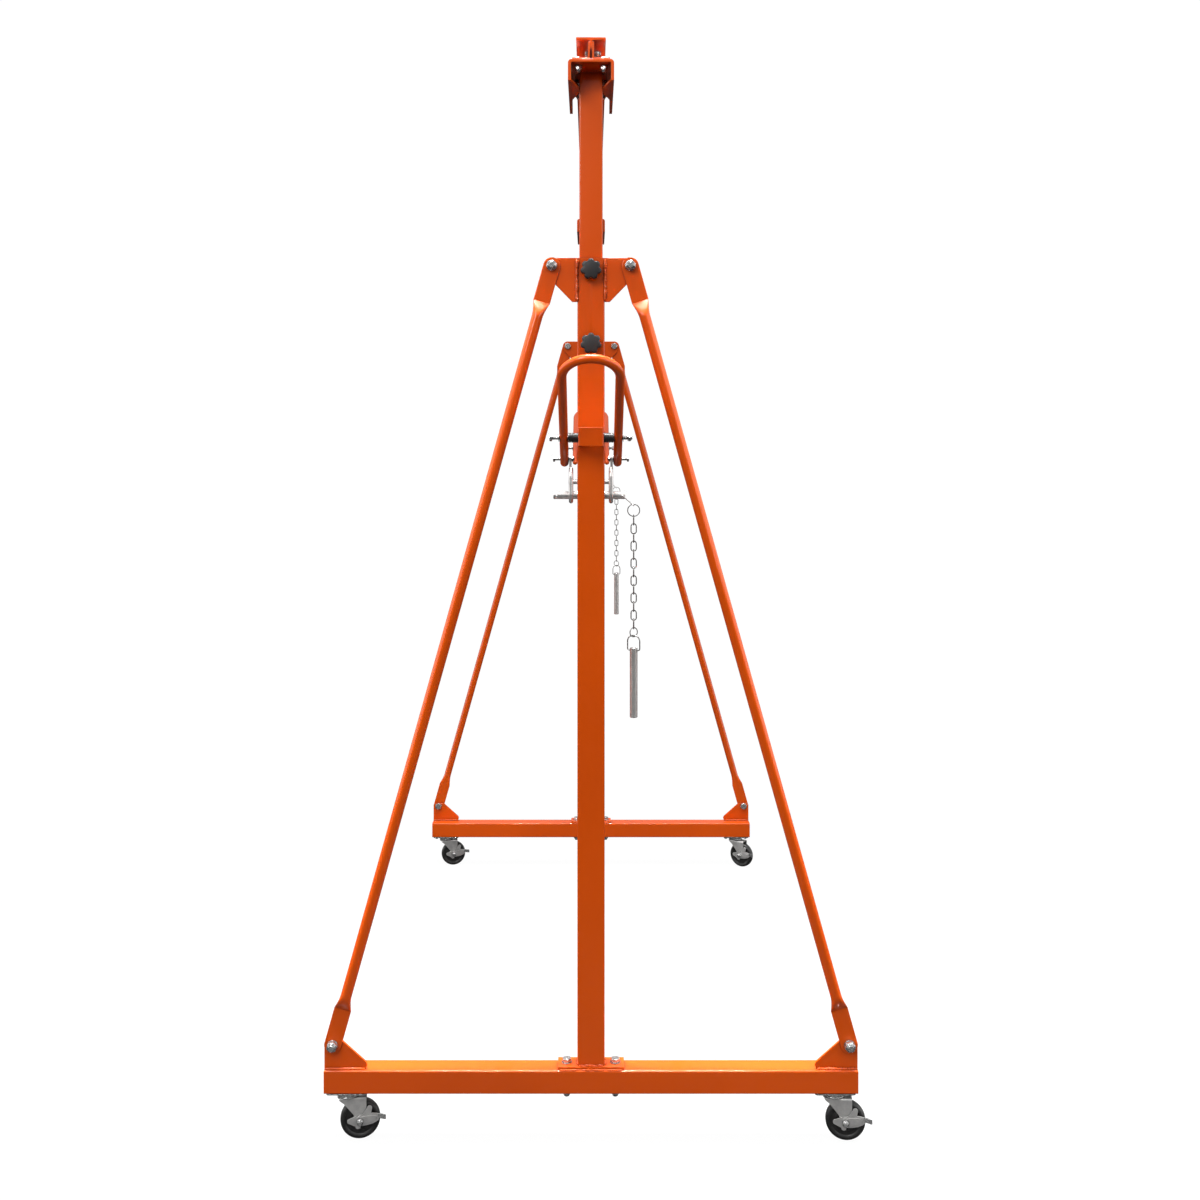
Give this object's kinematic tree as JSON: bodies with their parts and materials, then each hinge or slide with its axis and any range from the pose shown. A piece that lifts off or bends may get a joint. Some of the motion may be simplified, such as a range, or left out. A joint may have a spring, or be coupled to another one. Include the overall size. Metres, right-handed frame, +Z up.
{
  "type": "portable gantry crane",
  "caption": "Orange rolling gantry crane: braced A-frames on swivel casters, telescopic posts raised by lever jacks, and a steel I-beam across the top.",
  "frame": {"origin": "on the floor, midway between the four casters, under the middle of the beam", "axes": "+Z up; X along the base tubes; Y along the beam, with the front frame at negative Y"},
  "size_m": [1.3993, 2.842, 2.8255],
  "materials": {
    "orange_paint": "gloss powder coat",
    "zinc_plate": "bright zinc plating",
    "bright_steel": "drawn, plated bar",
    "black_plastic": "moulded, satin",
    "black_rubber": "hard moulded rubber"
  },
  "bodies": {
    "front_base": {"front_base_tube": "orange_paint", "front_base_gussets": "orange_paint", "front_outer_post": "orange_paint", "front_foot_bolts": "zinc_plate", "front_post_gussets": "orange_paint", "front_braces": "orange_paint", "front_brace_bolts": "zinc_plate", "front_lift_bracket": "orange_paint", "front_pivot_bolt": "zinc_plate", "front_pivot_spacers": "black_plastic", "front_caster_plates": "zinc_plate"},
    "upper": {"beam": "orange_paint", "front_inner_post": "orange_paint", "front_saddle": "orange_paint", "front_saddle_angles": "orange_paint", "front_saddle_bolts": "zinc_plate", "rear_inner_post": "orange_paint", "rear_saddle": "orange_paint", "rear_saddle_angles": "orange_paint", "rear_saddle_bolts": "zinc_plate"},
    "rear_base": {"rear_base_tube": "orange_paint", "rear_base_gussets": "orange_paint", "rear_outer_post": "orange_paint", "rear_foot_bolts": "zinc_plate", "rear_post_gussets": "orange_paint", "rear_braces": "orange_paint", "rear_brace_bolts": "zinc_plate", "rear_lift_bracket": "orange_paint", "rear_pivot_bolt": "zinc_plate", "rear_pivot_spacers": "black_plastic", "rear_caster_plates": "zinc_plate"},
    "front_lever": {"front_lift_lever": "orange_paint", "front_link_bolts": "zinc_plate"},
    "front_links": {"front_lift_links": "bright_steel"},
    "front_bar": {"front_lift_bar": "bright_steel"},
    "front_pin": {"front_pin_chain": "zinc_plate", "front_locking_pin": "bright_steel"},
    "front_upper_knob": {"front_clamp_knob_upper": "black_plastic"},
    "front_lower_knob": {"front_clamp_knob_lower": "black_plastic"},
    "front_left_fork": {"front_left_caster_fork": "zinc_plate"},
    "front_left_wheel": {"front_left_caster_wheel": "black_rubber"},
    "front_left_brake": {"front_left_caster_brake": "zinc_plate"},
    "front_right_fork": {"front_right_caster_fork": "zinc_plate"},
    "front_right_wheel": {"front_right_caster_wheel": "black_rubber"},
    "front_right_brake": {"front_right_caster_brake": "zinc_plate"},
    "rear_lever": {"rear_lift_lever": "orange_paint", "rear_link_bolts": "zinc_plate"},
    "rear_links": {"rear_lift_links": "bright_steel"},
    "rear_bar": {"rear_lift_bar": "bright_steel"},
    "rear_pin": {"rear_pin_chain": "zinc_plate", "rear_locking_pin": "bright_steel"},
    "rear_upper_knob": {"rear_clamp_knob_upper": "black_plastic"},
    "rear_lower_knob": {"rear_clamp_knob_lower": "black_plastic"},
    "rear_left_fork": {"rear_left_caster_fork": "zinc_plate"},
    "rear_left_wheel": {"rear_left_caster_wheel": "black_rubber"},
    "rear_left_brake": {"rear_left_caster_brake": "zinc_plate"},
    "rear_right_fork": {"rear_right_caster_fork": "zinc_plate"},
    "rear_right_wheel": {"rear_right_caster_wheel": "black_rubber"},
    "rear_right_brake": {"rear_right_caster_brake": "zinc_plate"}
  },
  "joints": [
    {"name": "raise_beam", "type": "slide", "parent": "front_base", "child": "upper", "axis": [0, 0, 1], "range_m": [-0.4, 0.8]},
    {"name": "raise_on_rear_frame", "type": "slide", "parent": "upper", "child": "rear_base", "axis": [0, 0, -1], "range_m": [-0.4, 0.8]},
    {"name": "front_lever_fold", "type": "hinge", "parent": "front_base", "child": "front_lever", "pos_m": [0, -1.15206, 1.803], "axis": [1, 0, 0], "range_deg": [-55, 0]},
    {"name": "front_links_swing", "type": "hinge", "parent": "front_lever", "child": "front_links", "pos_m": [0, -1.075, 1.75004], "axis": [1, 0, 0], "range_deg": [0, 110]},
    {"name": "front_bar_pull", "type": "slide", "parent": "front_base", "child": "front_bar", "axis": [1, 0, 0], "range_m": [0, 0.13]},
    {"name": "front_pin_swing", "type": "hinge", "parent": "front_bar", "child": "front_pin", "pos_m": [0.11, -1.075, 1.63], "axis": [0, 1, 0], "range_deg": [-25, 5]},
    {"name": "front_upper_knob_turn", "type": "hinge", "parent": "front_base", "child": "front_upper_knob", "pos_m": [0, -1.075, 2.233], "axis": [0, -1, 0], "range_deg": [0, 540]},
    {"name": "front_lower_knob_turn", "type": "hinge", "parent": "front_base", "child": "front_lower_knob", "pos_m": [0, -1.075, 2.044], "axis": [0, -1, 0], "range_deg": [0, 540]},
    {"name": "front_left_swivel", "type": "hinge", "parent": "front_base", "child": "front_left_fork", "pos_m": [-0.625, -1.075, 0.115], "axis": [0, 0, 1], "continuous": true},
    {"name": "front_left_roll", "type": "hinge", "parent": "front_left_fork", "child": "front_left_wheel", "pos_m": [-0.59529, -1.07082, 0.0508], "axis": [-0.1392, 0.9903, 0], "continuous": true},
    {"name": "front_left_brake_step", "type": "hinge", "parent": "front_left_fork", "child": "front_left_brake", "pos_m": [-0.59529, -1.07082, 0.0508], "axis": [-0.1392, 0.9903, 0], "range_deg": [0, 12]},
    {"name": "front_right_swivel", "type": "hinge", "parent": "front_base", "child": "front_right_fork", "pos_m": [0.625, -1.075, 0.115], "axis": [0, 0, 1], "continuous": true},
    {"name": "front_right_roll", "type": "hinge", "parent": "front_right_fork", "child": "front_right_wheel", "pos_m": [0.65471, -1.07917, 0.0508], "axis": [0.1392, 0.9903, 0], "continuous": true},
    {"name": "front_right_brake_step", "type": "hinge", "parent": "front_right_fork", "child": "front_right_brake", "pos_m": [0.65471, -1.07917, 0.0508], "axis": [0.1392, 0.9903, 0], "range_deg": [0, 12]},
    {"name": "rear_lever_fold", "type": "hinge", "parent": "rear_base", "child": "rear_lever", "pos_m": [0, 1.15206, 1.803], "axis": [-1, 0, 0], "range_deg": [-55, 0]},
    {"name": "rear_links_swing", "type": "hinge", "parent": "rear_lever", "child": "rear_links", "pos_m": [0, 1.075, 1.75004], "axis": [-1, 0, 0], "range_deg": [0, 110]},
    {"name": "rear_bar_pull", "type": "slide", "parent": "rear_base", "child": "rear_bar", "axis": [1, 0, 0], "range_m": [0, 0.13]},
    {"name": "rear_pin_swing", "type": "hinge", "parent": "rear_bar", "child": "rear_pin", "pos_m": [0.11, 1.075, 1.63], "axis": [0, 1, 0], "range_deg": [-25, 5]},
    {"name": "rear_upper_knob_turn", "type": "hinge", "parent": "rear_base", "child": "rear_upper_knob", "pos_m": [0, 1.075, 2.233], "axis": [0, 1, 0], "range_deg": [0, 540]},
    {"name": "rear_lower_knob_turn", "type": "hinge", "parent": "rear_base", "child": "rear_lower_knob", "pos_m": [0, 1.075, 2.044], "axis": [0, 1, 0], "range_deg": [0, 540]},
    {"name": "rear_left_swivel", "type": "hinge", "parent": "rear_base", "child": "rear_left_fork", "pos_m": [-0.625, 1.075, 0.115], "axis": [0, 0, 1], "continuous": true},
    {"name": "rear_left_roll", "type": "hinge", "parent": "rear_left_fork", "child": "rear_left_wheel", "pos_m": [-0.59566, 1.08124, 0.0508], "axis": [-0.2079, 0.9781, 0], "continuous": true},
    {"name": "rear_left_brake_step", "type": "hinge", "parent": "rear_left_fork", "child": "rear_left_brake", "pos_m": [-0.59566, 1.08124, 0.0508], "axis": [-0.2079, 0.9781, 0], "range_deg": [0, 12]},
    {"name": "rear_right_swivel", "type": "hinge", "parent": "rear_base", "child": "rear_right_fork", "pos_m": [0.625, 1.075, 0.115], "axis": [0, 0, 1], "continuous": true},
    {"name": "rear_right_roll", "type": "hinge", "parent": "rear_right_fork", "child": "rear_right_wheel", "pos_m": [0.64958, 1.05779, 0.0508], "axis": [0.5736, 0.8192, 0], "continuous": true},
    {"name": "rear_right_brake_step", "type": "hinge", "parent": "rear_right_fork", "child": "rear_right_brake", "pos_m": [0.64958, 1.05779, 0.0508], "axis": [0.5736, 0.8192, 0], "range_deg": [0, 12]}
  ],
  "couplings": [
    {"joint": "raise_on_rear_frame", "follows": "raise_beam", "ratio": 1},
    {"joint": "front_links_swing", "follows": "front_lever_fold", "ratio": -2},
    {"joint": "rear_links_swing", "follows": "rear_lever_fold", "ratio": -2}
  ]
}
